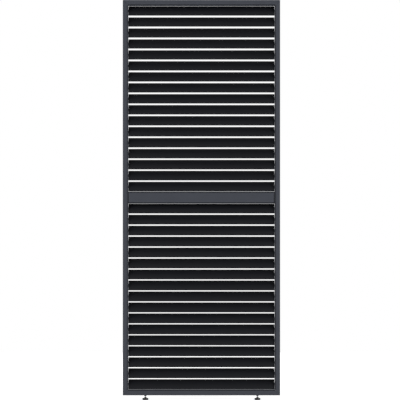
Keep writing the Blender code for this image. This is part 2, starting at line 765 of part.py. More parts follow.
def main():
    clear_scene()
    parts = new_collection("louvred_privacy_screen")
    cutters = new_collection("cutters")
    frame_finish = new_material("frame powder coat", (66, 69, 77), 0.45, 0.0)
    blade_finish = new_material("blade powder coat", (24, 25, 29), 0.40, 0.0)
    mill_finish = new_material("mill aluminium", (180, 182, 184), 0.35, 1.0)
    nylon = new_material("black nylon", (24, 24, 26), 0.50, 0.0)
    rubber = new_material("black rubber", (12, 12, 13), 0.80, 0.0)
    plastic = new_material("black foot plastic", (14, 14, 15), 0.30, 0.0)
    zinc = new_material("zinc plate", (170, 172, 176), 0.30, 1.0)
    black_zinc = new_material("black zinc plate", (62, 63, 66), 0.35, 1.0)
    add_frame(parts, cutters, frame_finish)
    add_corner_cleats(parts, mill_finish)
    add_mid_rail(parts, frame_finish)
    add_end_pads(parts, rubber)
    add_brackets(parts, cutters, mill_finish)
    add_bearing_strips(parts, cutters, nylon)
    add_blades(parts, cutters, blade_finish)
    add_link_rods(parts, cutters, mill_finish)
    add_feet(parts, cutters, plastic, zinc, black_zinc)


main()
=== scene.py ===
"""Looks of the louvred privacy screen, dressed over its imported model.

Metres, in the model's own frame: +Z up, +X to the right of someone who looks at the front, and
+Y away from them. Each piece rides on the CAD body that it belongs to.
"""

import json
import math

import bmesh
import bpy
from mathutils import Matrix, Vector


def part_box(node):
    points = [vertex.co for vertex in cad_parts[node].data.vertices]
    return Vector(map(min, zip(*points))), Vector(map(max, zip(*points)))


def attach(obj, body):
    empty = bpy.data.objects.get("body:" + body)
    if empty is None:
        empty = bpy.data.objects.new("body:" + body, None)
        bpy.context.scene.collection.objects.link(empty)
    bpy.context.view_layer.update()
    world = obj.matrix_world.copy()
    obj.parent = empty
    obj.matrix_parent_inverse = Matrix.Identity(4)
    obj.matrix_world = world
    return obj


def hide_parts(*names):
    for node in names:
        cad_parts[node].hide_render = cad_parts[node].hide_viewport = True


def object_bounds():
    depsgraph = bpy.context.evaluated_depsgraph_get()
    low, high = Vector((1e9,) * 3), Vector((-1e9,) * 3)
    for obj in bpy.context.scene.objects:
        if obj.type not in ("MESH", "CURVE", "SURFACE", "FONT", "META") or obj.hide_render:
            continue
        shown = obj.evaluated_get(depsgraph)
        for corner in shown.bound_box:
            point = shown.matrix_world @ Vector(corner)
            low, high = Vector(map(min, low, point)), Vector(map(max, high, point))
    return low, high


# Camera: level and far off, as a long lens sees the screen in the photograph
CAMERA_DISTANCE = 16.0
CAMERA_SIDE = -0.0082
CAMERA_HEIGHT = 1.1458
VIEW_WIDTH = 2.288
SENSOR_WIDTH_MM = 36.0

# Frame profiles
FRAME_WALL = 0.002
FRAME_EDGE_RADIUS = 0.0015
SEAT_GAP = 0.0003
STRIP_SLOT = 0.026
STRIP_FLANGE = 0.002
STRIP_GRIP = 0.004
STRIP_DEPTH = FRAME_WALL + SEAT_GAP + STRIP_FLANGE
OPENINGS = ("upper", "lower")
PAD_CUT_OUT_HEIGHT = 0.0406

# Painted shade: black strips, each in a groove along a profile's face beside an opening, darker than the groove's
# own shade
GROOVE_INSET = 0.004
GROOVE_WIDTH = 0.003
PAINTED_SHADE_SINK = 0.0003
PAINTED_SHADE_EDGE_RADIUS = 0.0002
GROOVE_DEPTH = 0.0012

# Bearing collars
COLLAR_RADIUS = 0.0085
COLLAR_STAND_OUT = 0.0007
COLLAR_CHAMFER = 0.0003
BEARING_CLEARANCE = 0.0002

# Blades
BLADE_CHORD = 0.0684
BLADE_THICKNESS = 0.011
BLADE_TIP_RADIUS = 0.0015
BLADE_HALF_LENGTH = 0.418
BLADE_TILT = math.radians(36.5)
END_CAP_THICKNESS = 0.0015
END_CAP_INSET = 0.00025
SHAFT_RADIUS = 0.003
SHAFT_STAND_OUT = 0.001
SHAFT_ROOT = 0.010

# Cranks and link rods
CRANK_REACH = 0.014
CRANK_LEAD = math.radians(62.5)
CRANK_THICKNESS = 0.003
CRANK_HUB_RADIUS = 0.0055
CRANK_EYE_RADIUS = 0.004
CRANK_GAP = 0.001
PIN_RADIUS = 0.002
PIN_STAND_OUT = 0.0015
PIN_CHAMFER_SHARE = 0.125
ROD_GAP = 0.0005
ROD_WIDTH = 0.010

# Feet
PAD_CHAMFER = 0.0008
PAD_SHOULDER = 0.002
PAD_RIM_HEIGHT = 0.0034
PAD_GROOVE = 0.0004
PAD_SOCKET_RADIUS = 0.0044
PAD_SOCKET_DEPTH = 0.006
HEX_FLATS = 0.013
HEX_TOP = 0.0173
HEX_BASE = 0.0128
HEX_CHAMFER = 0.0011
HEX_CHAMFER_RISE = 0.00054
NUT_HEX_HEIGHT = 0.0055
NUT_NECK_RADIUS = 0.0055
THREAD_RADIUS = 0.004
THREAD_DEPTH = 0.00072
THREAD_PITCH = 0.00125
THREAD_ROOT = 0.0002
FLANK_START_SHARE = 0.25
CREST_START_SHARE = 0.5625
CREST_END_SHARE = 0.6875

# Countersunk screws in the back face, which hold the cleats and brackets
SCREW_RADIUS = 0.0038
SCREW_SHANK = 0.002
SCREW_LENGTH = 0.010
SCREW_SOCKET = 0.0014
SCREW_SOCKET_DEPTH = 0.0012
SCREW_SINK = 0.0002
SCREW_CLEARANCE = 0.0001
CORNER_SCREW_RUN = 0.034
CORNER_SCREW_DROP = 0.030
BRACKET_SCREW_RUN = 0.016
BRACKET_SCREW_RISE = 0.019

# Broken edges, facets of the round shapes, and which edges shade sharp
BROKEN_EDGE = 0.0003
EDGE_STEPS = 6
BEVEL_STEPS = 2
ROUND_BEVEL = 0.5
BLADE_ARC_STEPS = 16
TIP_STEPS = 6
STRAP_STEPS = 10
COLLAR_SIDES = 40
SHAFT_SIDES = 24
PIN_SIDES = 16
PAD_SIDES = 72
THREAD_SIDES = 28
HEX_SIDES = 6
SHARP_ANGLE = math.radians(32)
WELD_DISTANCE = 0.000001

# A rectangle's corners in turn, each as the side in x and the side in y that it lies on
CORNERS = ((1, -1), (1, 1), (-1, 1), (-1, -1))

# Display colours, 0 to 255
FRAME_COLOUR = (66, 69, 77)
BLADE_COLOUR = (24, 25, 29)
MILL_COLOUR = (180, 182, 184)
NYLON_COLOUR = (24, 24, 26)
RUBBER_COLOUR = (12, 12, 13)
# Rubber of the mid rail's end pads, also the colour of the strips of painted shade in the frame's grooves
FOOT_COLOUR = (14, 14, 15)
ZINC_COLOUR = (208, 209, 212)
BLACK_ZINC_COLOUR = (62, 63, 66)
FLOOR_COLOUR = (248, 248, 248)

# Noise: the part of its range that is spread out, grains to a metre, and levels of detail
NOISE_LOW = 0.3
NOISE_HIGH = 0.7
COAT_GRAINS = 900.0
COAT_GRAIN_DETAIL = 4.0
COAT_CLOUDS = 14.0
COAT_CLOUD_DETAIL = 3.0
COAT_GRAIN_SHARE = 0.6
DRAWN_LINES = 60.0
DRAWN_LINE_DETAIL = 4.0
MOULDED_GRAIN_DETAIL = 3.0
MOULDED_BLOTCHES = 60.0
MOULDED_BLOTCH_DETAIL = 2.0

# How far colour and roughness stray, and the height and strength of the bumps
COAT_COLOUR_SHARE = 0.08
COAT_BUMP = 0.00006
COAT_BUMP_STRENGTH = 0.55
DRAWN_COLOUR_SHARE = 0.06
DRAWN_SMOOTHER = 0.06
DRAWN_ROUGHER = 0.10
DRAWN_BUMP = 0.00002
DRAWN_BUMP_STRENGTH = 0.30
MOULDED_COLOUR_SHARE = 0.10
MOULDED_BUMP_STRENGTH = 0.40
NYLON_BUMP = 0.00004
RUBBER_BUMP = 0.00006
FOOT_BUMP = 0.00001
EVEN = (1.0, 1.0, 1.0)
ALONG_LENGTH = (1.0, 1.0, 12.0)

# Studio
WHITE = (1.0, 1.0, 1.0, 1.0)
FLOOR_SIZE = 10.0
FLOOR_DROP = 0.0002
FLOOR_GLOW = 0.66
FLOOR_ROUGHNESS = 0.9
SKY_LIGHT = 0.30
SKY_GLOSS_SIDE = 0.08
SKY_GLOSS_FRONT = 1.0
LAMP_DISTANCE = 6.0
LAMP_HEIGHT = 2.4
LAMP_SIZE = 2.5
FRONT_LAMP_AZIMUTH = 48.0
REAR_LAMP_AZIMUTH = 135.0
LEFT_LAMP_POWER = 115.0
RIGHT_LAMP_POWER = 130.0
REAR_LAMP_POWER = 90.0


# Materials


def linear(level):
    """One 0 to 255 display level as linear light, by the sRGB curve."""
    share = level / 255
    return share / 12.92 if share <= 0.04045 else ((share + 0.055) / 1.055) ** 2.4


def paint(levels, gain=1.0):
    """An opaque shader colour from display levels, made lighter or darker by the gain."""
    return (*(linear(level) * gain for level in levels), 1.0)


def add_node(tree, kind, inputs=None, **settings):
    """A new shader node with its settings, and values for the inputs that nothing links to."""
    node = tree.nodes.new(kind)
    for name, value in settings.items():
        setattr(node, name, value)
    for name, value in (inputs or {}).items():
        node.inputs[name].default_value = value
    return node


def grain(tree, scale, detail, stretch=EVEN):
    """Noise on the piece's own coordinates, with this many grains to a metre."""
    place = add_node(tree, "ShaderNodeTexCoord")
    mapping = add_node(tree, "ShaderNodeMapping", {"Scale": stretch})
    noise = add_node(tree, "ShaderNodeTexNoise", {"Scale": scale, "Detail": detail})
    tree.links.new(place.outputs["Object"], mapping.inputs["Vector"])
    tree.links.new(mapping.outputs["Vector"], noise.inputs["Vector"])
    return noise.outputs["Fac"]


def remap(tree, source, low, high):
    """The middle of a noise's range, spread from low to high."""
    inputs = {"From Min": NOISE_LOW, "From Max": NOISE_HIGH, "To Min": low, "To Max": high}
    node = add_node(tree, "ShaderNodeMapRange", inputs)
    tree.links.new(source, node.inputs["Value"])
    return node.outputs["Result"]


def vary_colour(tree, shader, source, levels, share):
    """The base colour, darker and lighter by this share."""
    mix = add_node(tree, "ShaderNodeMix", data_type="RGBA")
    mix.inputs["A"].default_value = paint(levels, 1 - share)
    mix.inputs["B"].default_value = paint(levels, 1 + share)
    tree.links.new(remap(tree, source, 0.0, 1.0), mix.inputs["Factor"])
    tree.links.new(mix.outputs["Result"], shader.inputs["Base Color"])


def vary_roughness(tree, shader, source, low, high):
    """The roughness, from low to high with the noise."""
    tree.links.new(remap(tree, source, low, high), shader.inputs["Roughness"])


def add_bump(tree, shader, source, height, strength):
    """Bumps of this height in metres, where the noise is high."""
    bump = add_node(tree, "ShaderNodeBump", {"Distance": height, "Strength": strength})
    tree.links.new(source, bump.inputs["Height"])
    tree.links.new(bump.outputs["Normal"], shader.inputs["Normal"])


def new_material(name):
    """A material with its node tree and its shader."""
    material = bpy.data.materials.new(name)
    material.use_nodes = True
    return material, material.node_tree, material.node_tree.nodes["Principled BSDF"]


def powder_coat(name, levels, specular, low, high):
    """Baked powder paint: fine grains of texture, with a hardly visible cloud in its colour."""
    material, tree, shader = new_material(name)
    grains = grain(tree, COAT_GRAINS, COAT_GRAIN_DETAIL)
    cloud = grain(tree, COAT_CLOUDS, COAT_CLOUD_DETAIL)
    speckle = add_node(tree, "ShaderNodeMix", {"Factor": COAT_GRAIN_SHARE})
    tree.links.new(cloud, speckle.inputs["A"])
    tree.links.new(grains, speckle.inputs["B"])
    vary_colour(tree, shader, speckle.outputs["Result"], levels, COAT_COLOUR_SHARE)
    vary_roughness(tree, shader, grains, low, high)
    add_bump(tree, shader, grains, COAT_BUMP, COAT_BUMP_STRENGTH)
    shader.inputs["Specular IOR Level"].default_value = specular
    return material


def drawn_metal(name, levels, roughness, stretch):
    """Bare metal whose fine grain is squeezed into lines by the stretch."""
    material, tree, shader = new_material(name)
    lines = grain(tree, DRAWN_LINES, DRAWN_LINE_DETAIL, stretch)
    smoothest = roughness - DRAWN_SMOOTHER
    roughest = roughness + DRAWN_ROUGHER
    vary_colour(tree, shader, lines, levels, DRAWN_COLOUR_SHARE)
    vary_roughness(tree, shader, lines, smoothest, roughest)
    add_bump(tree, shader, lines, DRAWN_BUMP, DRAWN_BUMP_STRENGTH)
    shader.inputs["Metallic"].default_value = 1.0
    return material


def moulded(name, levels, specular, low, high, grains, height):
    """Moulded plastic or rubber with a fine, even texture."""
    material, tree, shader = new_material(name)
    skin = grain(tree, grains, MOULDED_GRAIN_DETAIL)
    blotch = grain(tree, MOULDED_BLOTCHES, MOULDED_BLOTCH_DETAIL)
    vary_colour(tree, shader, blotch, levels, MOULDED_COLOUR_SHARE)
    vary_roughness(tree, shader, skin, low, high)
    add_bump(tree, shader, skin, height, MOULDED_BUMP_STRENGTH)
    shader.inputs["Specular IOR Level"].default_value = specular
    return material


def make_finishes():
    """A material for each material slot of the record."""
    return {
        "frame_coat": powder_coat(
            "frame_powder_coat", FRAME_COLOUR, specular=0.20, low=0.26, high=0.36
        ),
        "blade_coat": powder_coat(
            "blade_powder_coat", BLADE_COLOUR, specular=0.20, low=0.42, high=0.54
        ),
        "mill_aluminium": drawn_metal(
            "mill_aluminium", MILL_COLOUR, roughness=0.34, stretch=ALONG_LENGTH
        ),
        "black_nylon": moulded(
            "black_nylon",
            NYLON_COLOUR,
            specular=0.40,
            low=0.45,
            high=0.60,
            grains=900.0,
            height=NYLON_BUMP,
        ),
        # Rubber of the mid rail's end pads, also used for the strips of painted shade in the frame's grooves
        "black_rubber": moulded(
            "black_rubber",
            RUBBER_COLOUR,
            specular=0.20,
            low=0.70,
            high=0.85,
            grains=700.0,
            height=RUBBER_BUMP,
        ),
        "foot_plastic": moulded(
            "foot_plastic",
            FOOT_COLOUR,
            specular=0.50,
            low=0.12,
            high=0.20,
            grains=300.0,
            height=FOOT_BUMP,
        ),
        "zinc_plate": drawn_metal("zinc_plate", ZINC_COLOUR, roughness=0.42, stretch=EVEN),
        "black_zinc": drawn_metal("black_zinc", BLACK_ZINC_COLOUR, roughness=0.34, stretch=EVEN),
    }


# Outlines and shapes


def arc(centre, radius, start, stop, steps):
    """Points along an arc, from its start angle to its stop angle."""
    points = []
    for step in range(steps + 1):
        angle = start + (stop - start) * step / steps
        points.append((centre[0] + radius * math.cos(angle), centre[1] + radius * math.sin(angle)))
    return points


def circle(centre, radius, sides):
    """The corners of a regular polygon, the first of them at +x."""
    return arc(centre, radius, 0.0, 2 * math.pi * (sides - 1) / sides, sides - 1)


def rectangle(width, height):
    """The corners of a rectangle about the origin."""
    half_width = width / 2
    half_height = height / 2
    return [
        (-half_width, -half_height),
        (half_width, -half_height),
        (half_width, half_height),
        (-half_width, half_height),
    ]


def rounded_rectangle(width, height, radius):
    """A rectangle about the origin with round corners."""
    points = []
    for turn, (side_x, side_y) in enumerate(CORNERS):
        centre = (side_x * (width / 2 - radius), side_y * (height / 2 - radius))
        start = (turn - 1) * math.pi / 2
        points += arc(centre, radius, start, start + math.pi / 2, EDGE_STEPS)
    return points


def strap(first, second, first_radius, second_radius):
    """A closed strap round two circles."""
    run = Vector(second) - Vector(first)
    heading = math.atan2(run.y, run.x)
    flare = math.acos((first_radius - second_radius) / run.length)
    near = arc(first, first_radius, heading + flare, heading + 2 * math.pi - flare, STRAP_STEPS)
    far = arc(second, second_radius, heading - flare, heading + flare, STRAP_STEPS)
    return near + far


def prism(outlines, length):
    """A straight bar along Z about its middle, hollowed by every outline after the first."""
    shape = bmesh.new()
    for outline in outlines:
        low = [shape.verts.new((x, y, -length / 2)) for x, y in outline]
        high = [shape.verts.new((x, y, length / 2)) for x, y in outline]
        for index in range(len(outline)):
            shape.faces.new((low[index - 1], low[index], high[index], high[index - 1]))
    for end in (-1, 1):
        rim = [edge for edge in shape.edges if all(corner.co.z * end > 0 for corner in edge.verts)]
        bmesh.ops.triangle_fill(shape, use_beauty=True, use_dissolve=False, edges=rim)
    bmesh.ops.recalc_face_normals(shape, faces=shape.faces)
    return shape


def ring(radius, z, sides):
    """Points on a level circle about Z."""
    return [(x, y, z) for x, y in circle((0.0, 0.0), radius, sides)]


def joined_rings(rings, closed=False):
    """A shape of rings of equally many points, each joined to the next, and closed on request."""
    shape = bmesh.new()
    loops = []
    for points in rings:
        made = {point: shape.verts.new(point) for point in dict.fromkeys(points)}
        loops.append([made[point] for point in points])
    pairs = list(zip(loops, loops[1:]))
    if closed:
        pairs.append((loops[-1], loops[0]))
    for first, second in pairs:
        for index in range(len(first)):
            corners = (first[index - 1], first[index], second[index], second[index - 1])
            different = list(dict.fromkeys(corners))
            if len(different) > 2:
                shape.faces.new(different)
    bmesh.ops.recalc_face_normals(shape, faces=shape.faces)
    return shape


def lathe(profile, sides):
    """A turned shape about Z from (radius, z) points."""
    return joined_rings([ring(radius, z, sides) for radius, z in profile])


def break_edges(shape, width):
    """Bevels every edge that is sharper than the sharp angle."""
    edges = [
        edge
        for edge in shape.edges
        if edge.is_manifold and edge.calc_face_angle() > SHARP_ANGLE
    ]
    bmesh.ops.bevel(
        shape,
        geom=edges,
        offset=width,
        offset_type="OFFSET",
        segments=BEVEL_STEPS,
        profile=ROUND_BEVEL,
        affect="EDGES",
        clamp_overlap=True,
    )
    return shape


def gather(parts):
    """One shape of (shape, matrix) parts, which are used up."""
    whole = bmesh.new()
    for shape, matrix in parts:
        shape.transform(matrix)
        if matrix.determinant() < 0:
            bmesh.ops.reverse_faces(shape, faces=shape.faces)
        mesh = bpy.data.meshes.new("part")
        shape.to_mesh(mesh)
        shape.free()
        whole.from_mesh(mesh)
        bpy.data.meshes.remove(mesh)
    return whole


def combined(shape, tool, operation):
    """The shape with the tool added or taken away, its doubled points welded. Both are used up."""
    items = []
    for part in (shape, tool):
        mesh = bpy.data.meshes.new("shape")
        part.to_mesh(mesh)
        part.free()
        item = bpy.data.objects.new("shape", mesh)
        bpy.context.scene.collection.objects.link(item)
        items.append(item)
    modifier = items[0].modifiers.new("combined", "BOOLEAN")
    modifier.operation = operation
    modifier.solver = "EXACT"
    modifier.object = items[1]
    bpy.context.view_layer.update()
    evaluated = items[0].evaluated_get(bpy.context.evaluated_depsgraph_get())
    mesh = bpy.data.meshes.new_from_object(evaluated)
    result = bmesh.new()
    result.from_mesh(mesh)
    bpy.data.meshes.remove(mesh)
    bmesh.ops.remove_doubles(result, verts=result.verts, dist=WELD_DISTANCE)
    bmesh.ops.dissolve_degenerate(result, edges=result.edges, dist=WELD_DISTANCE)
    for item in items:
        mesh = item.data
        bpy.data.objects.remove(item, do_unlink=True)
        bpy.data.meshes.remove(mesh)
    return result


def finished_mesh(name, shape, material):
    """A mesh of the shape, which is used up. Faces of more than 4 corners become triangles."""
    many_sided = [face for face in shape.faces if len(face.verts) > 4]
    bmesh.ops.triangulate(shape, faces=many_sided)
    bmesh.ops.dissolve_degenerate(shape, edges=shape.edges, dist=WELD_DISTANCE)
    mesh = bpy.data.meshes.new(name)
    shape.to_mesh(mesh)
    shape.free()
    mesh.materials.append(material)
    mesh.shade_smooth()
    mesh.set_sharp_from_angle(angle=SHARP_ANGLE)
    return mesh


# Pieces and their places


def add_piece(name, mesh, body, replaces=(), place=None):
    """A piece of the object that rides on a CAD body, with flat faces that shade flat."""
    piece = bpy.data.objects.new(name, mesh)
    bpy.context.scene.collection.objects.link(piece)
    if place is not None:
        piece.matrix_world = place
    weighted = piece.modifiers.new("weighted normals", "WEIGHTED_NORMAL")
    weighted.keep_sharp = True
    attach(piece, body)
    if replaces:
        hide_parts(*replaces)
    return piece


def along_x(place=(0.0, 0.0, 0.0), turn=0.0):
    """Lays a drawing's x and y along Y and Z, and its length along X, then tilts it about X."""
    lay = Matrix(((0, 0, 1, 0), (1, 0, 0, 0), (0, 1, 0, 0), (0, 0, 0, 1)))
    return Matrix.Translation(place) @ Matrix.Rotation(turn, 4, "X") @ lay


def box_size(node):
    """A CAD node's width, depth and height."""
    low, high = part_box(node)
    return high - low


def box_middle(node):
    """The middle of a CAD node's box."""
    low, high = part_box(node)
    return (low + high) / 2


# Frame


def section_corners(face, depth, groove_sides):
    """The four round corners of a section with its face along x, each a list of points.

    They run from the corner at +x and -y, round by +x and +y. The last argument holds 1 where the
    faces have a groove, darkened by a black strip of painted shade, beside their +x edges, and -1 where beside
    their -x edges.
    """
    corners = []
    for turn, (side_x, side_y) in enumerate(CORNERS):
        edge_x = side_x * face / 2
        face_y = side_y * depth / 2
        middle = (edge_x - side_x * FRAME_EDGE_RADIUS, face_y - side_y * FRAME_EDGE_RADIUS)
        start = (turn - 1) * math.pi / 2
        points = arc(middle, FRAME_EDGE_RADIUS, start, start + math.pi / 2, EDGE_STEPS)
        if side_x in groove_sides:
            near_x = edge_x - side_x * GROOVE_INSET
            far_x = near_x - side_x * GROOVE_WIDTH
            floor_y = face_y - side_y * GROOVE_DEPTH
            groove = [(near_x, face_y), (near_x, floor_y), (far_x, floor_y), (far_x, face_y)]
            if turn % 2:
                points = points + groove
            else:
                points = groove[::-1] + points
        corners.append(points)
    return corners


def box_section(face, depth, groove_sides):
    """The outline of a box section with round corners and a groove for each black strip of painted shade."""
    return [point for corner in section_corners(face, depth, groove_sides) for point in corner]


def painted_shade_sections(face, depth, groove_sides):
    """Black strips of painted shade in a section's grooves, just below the faces beside them, darker than the
    grooves' own shade.
    """
    height = GROOVE_DEPTH - PAINTED_SHADE_SINK
    painted_shade_strip = rounded_rectangle(GROOVE_WIDTH, height, PAINTED_SHADE_EDGE_RADIUS)
    outlines = []
    for side_x in groove_sides:
        for side_y in (-1, 1):
            middle_x = side_x * (face / 2 - GROOVE_INSET - GROOVE_WIDTH / 2)
            middle_y = side_y * (depth / 2 - PAINTED_SHADE_SINK - height / 2)
            outlines.append([(middle_x + x, middle_y + y) for x, y in painted_shade_strip])
    return outlines


def turned(outline):
    """The outline with its x and y exchanged."""
    return [(y, x) for x, y in outline]


def stile_section(face, depth):
    """A box section, open in the middle of the side that faces the blades, at -X."""
    corners = section_corners(face, depth, (-1,))
    face_x = face / 2
    lip = STRIP_SLOT / 2
    inner_x = face_x - FRAME_WALL
    inner_y = depth / 2 - FRAME_WALL
    from_slot = [(-face_x, -lip), *corners[3], *corners[0], *corners[1], *corners[2]]
    back_to_slot = [
        (-face_x, lip),
        (-inner_x, lip),
        (-inner_x, inner_y),
        (inner_x, inner_y),
        (inner_x, -inner_y),
        (-inner_x, -inner_y),
        (-inner_x, -lip),
    ]
    return from_slot + back_to_slot


def mitred_bar(outlines, length, face, run):
    """A bar whose ends slope back from its outer face, at +X, to its inner one.

    run is how far the slope goes along the bar over the whole face, and half of the seat gap
    stays open at each mitre.
    """
    bar = prism(outlines, length)
    gap = SEAT_GAP / 2 * math.hypot(run, face) / face
    for corner in bar.verts:
        back = (face / 2 - corner.co.x) * run / face + gap
        corner.co.z -= math.copysign(back, corner.co.z)
    return bar


def screw_places():
    """Where the screws sit in each profile's back face: two a corner, and two a mid rail end."""
    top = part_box("top_rail")[1]
    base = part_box("bottom_rail")[0]
    left = box_middle("left_stile")
    right = box_middle("right_stile")
    rail_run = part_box("right_stile")[0].x - CORNER_SCREW_RUN
    mid_low, mid_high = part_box("mid_rail")
    mid_z = (mid_low.z + mid_high.z) / 2
    stile_heights = (base.z + CORNER_SCREW_DROP, top.z - CORNER_SCREW_DROP)
    ends = (mid_low.x + BRACKET_SCREW_RUN, mid_high.x - BRACKET_SCREW_RUN)
    rises = (-BRACKET_SCREW_RISE, BRACKET_SCREW_RISE)
    return {
        "left_stile": [(left.x, top.y, z) for z in stile_heights],
        "right_stile": [(right.x, top.y, z) for z in stile_heights],
        "top_rail": [(x, top.y, box_middle("top_rail").z) for x in (-rail_run, rail_run)],
        "bottom_rail": [(x, top.y, box_middle("bottom_rail").z) for x in (-rail_run, rail_run)],
        "mid_rail": [(x, mid_high.y, mid_z + rise) for x in ends for rise in rises],
    }


def screw_place(corner):
    """Turns a screw that faces +Z to face +Y, with its rim in the back face at this place."""
    return Matrix.Translation(corner) @ Matrix.Rotation(-math.pi / 2, 4, "X")


def with_screw_holes(bar, place, corners):
    """The bar, given about its own middle, with a countersunk hole at each world corner."""
    rim = SCREW_RADIUS + SCREW_CLEARANCE
    shank = SCREW_SHANK + SCREW_CLEARANCE
    depth = rim - shank
    profile = [
        (0.0, -SCREW_LENGTH / 2),
        (shank, -SCREW_LENGTH / 2),
        (shank, -depth),
        (rim, 0.0),
        (rim, SCREW_SINK),
        (0.0, SCREW_SINK),
    ]
    holes = gather(
        [
            (lathe(profile, SHAFT_SIDES), place.inverted() @ screw_place(corner))
            for corner in corners
        ]
    )
    return combined(bar, holes, "DIFFERENCE")


def add_profile(name, bar, painted_shade_strips, place, finishes):
    """One of the frame's bars, which replaces its node, with its screw holes and the black strips of painted shade
    in its grooves.
    """
    shape = with_screw_holes(bar, place, screw_places()[name])
    mesh = finished_mesh(name, shape, finishes["frame_coat"])
    add_piece(f"{name}_profile", mesh, "frame", [name], place)
    # Black rubber strips sunk in the grooves: painted shade, darker than the grooves' own shade
    mesh = finished_mesh(f"{name}_seals", painted_shade_strips, finishes["black_rubber"])
    add_piece(f"{name}_seals", mesh, "frame", [], place)


def dress_stiles(finishes):
    """The two upright profiles, open towards the blades and mitred at both ends."""
    size = box_size("right_stile")
    rail_face = box_size("top_rail").z
    for name, turn in (("right_stile", 0.0), ("left_stile", math.pi)):
        bar = mitred_bar([stile_section(size.x, size.y)], size.z, size.x, rail_face)
        # Black strips of painted shade in the groove beside the opening
        painted_shade_strips = mitred_bar(painted_shade_sections(size.x, size.y, (-1,)), size.z, size.x, rail_face)
        place = Matrix.Translation(box_middle(name)) @ Matrix.Rotation(turn, 4, "Z")
        add_profile(name, break_edges(bar, BROKEN_EDGE), painted_shade_strips, place, finishes)


def with_foot_hole(bar, foot):
    """The bottom rail with a hole through its outer wall, at +X, for one foot nut's neck."""
    radius = NUT_NECK_RADIUS + SEAT_GAP
    hole = lathe([(0.0, -radius), (radius, -radius), (radius, radius), (0.0, radius)], SHAFT_SIDES)
    outer = max(corner.co.x for corner in bar.verts)
    place = Matrix.Translation((outer, foot.y, foot.z)) @ Matrix.Rotation(math.pi / 2, 4, "Y")
    return combined(bar, gather([(hole, place)]), "DIFFERENCE")


def dress_rails(finishes):
    """The top and bottom rails, mitred into the stiles."""
    size = box_size("top_rail")
    stile_face = box_size("right_stile").x
    outside = box_section(size.z, size.y, (-1,))
    hollow = rectangle(size.z - 2 * FRAME_WALL, size.y - 2 * FRAME_WALL)
    for name, turn in (("top_rail", -math.pi / 2), ("bottom_rail", math.pi / 2)):
        bar = mitred_bar([outside, hollow], size.x, size.z, stile_face)
        # Black strips of painted shade in the groove beside the opening
        painted_shade_strips = mitred_bar(painted_shade_sections(size.z, size.y, (-1,)), size.x, size.z, stile_face)
        place = Matrix.Translation(box_middle(name)) @ Matrix.Rotation(turn, 4, "Y")
        if name == "bottom_rail":
            for foot in ("left_foot_nut", "right_foot_nut"):
                bar = with_foot_hole(bar, place.inverted() @ box_middle(foot))
        add_profile(name, break_edges(bar, BROKEN_EDGE), painted_shade_strips, place, finishes)


def dress_mid_rail(finishes):
    """The rail between the openings, and the thin rubber pads at its ends."""
    size = box_size("mid_rail")
    outside = turned(box_section(size.z, size.y, (-1, 1)))
    hollow = rectangle(size.y - 2 * FRAME_WALL, size.z - 2 * FRAME_WALL)
    rail = break_edges(prism([outside, hollow], size.x), BROKEN_EDGE)
    # Black strips of painted shade in the grooves beside both openings
    painted_shade_outlines = [turned(outline) for outline in painted_shade_sections(size.z, size.y, (-1, 1))]
    painted_shade_strips = prism(painted_shade_outlines, size.x)
    add_profile("mid_rail", rail, painted_shade_strips, along_x(box_middle("mid_rail")), finishes)
    pad_outline = rounded_rectangle(size.y, size.z, FRAME_EDGE_RADIUS)
    cut_out = rectangle(STRIP_SLOT, PAD_CUT_OUT_HEIGHT)
    for name in ("left_end_pad", "right_end_pad"):
        pad = break_edges(prism([pad_outline, cut_out], box_size(name).x), BROKEN_EDGE)
        mesh = finished_mesh(name, pad, finishes["black_rubber"])
        place = along_x(box_middle(name))
        add_piece(f"{name}_gasket", mesh, "frame", [name], place)


def collar_shape():
    """A bearing collar about Z that stands out of its strip towards -Z, not yet bored."""
    profile = [
        (0.0, -COLLAR_STAND_OUT),
        (COLLAR_RADIUS - COLLAR_CHAMFER, -COLLAR_STAND_OUT),
        (COLLAR_RADIUS, COLLAR_CHAMFER - COLLAR_STAND_OUT),
        (COLLAR_RADIUS, FRAME_WALL),
        (0.0, FRAME_WALL),
    ]
    return lathe(profile, COLLAR_SIDES)


def bore_shape():
    """A shaft's bore about Z through collar and strip, with a chamfered mouth at the collar."""
    bore = SHAFT_RADIUS + BEARING_CLEARANCE
    outside = -COLLAR_STAND_OUT - COLLAR_CHAMFER
    through = 2 * FRAME_WALL + STRIP_FLANGE
    profile = [
        (0.0, outside),
        (bore + 2 * COLLAR_CHAMFER, outside),
        (bore, COLLAR_CHAMFER - COLLAR_STAND_OUT),
        (bore, through),
        (0.0, through),
    ]
    return lathe(profile, SHAFT_SIDES)


def strip_section():
    """A clip-in strip whose face is at x = 0, with its flanges behind the stile's lips."""
    tongue = STRIP_SLOT / 2 - SEAT_GAP
    flange = STRIP_SLOT / 2 + STRIP_GRIP
    flange_start = FRAME_WALL + SEAT_GAP
    return [
        (0.0, -tongue),
        (flange_start, -tongue),
        (flange_start, -flange),
        (STRIP_DEPTH, -flange),
        (STRIP_DEPTH, flange),
        (flange_start, flange),
        (flange_start, tongue),
        (0.0, tongue),
    ]


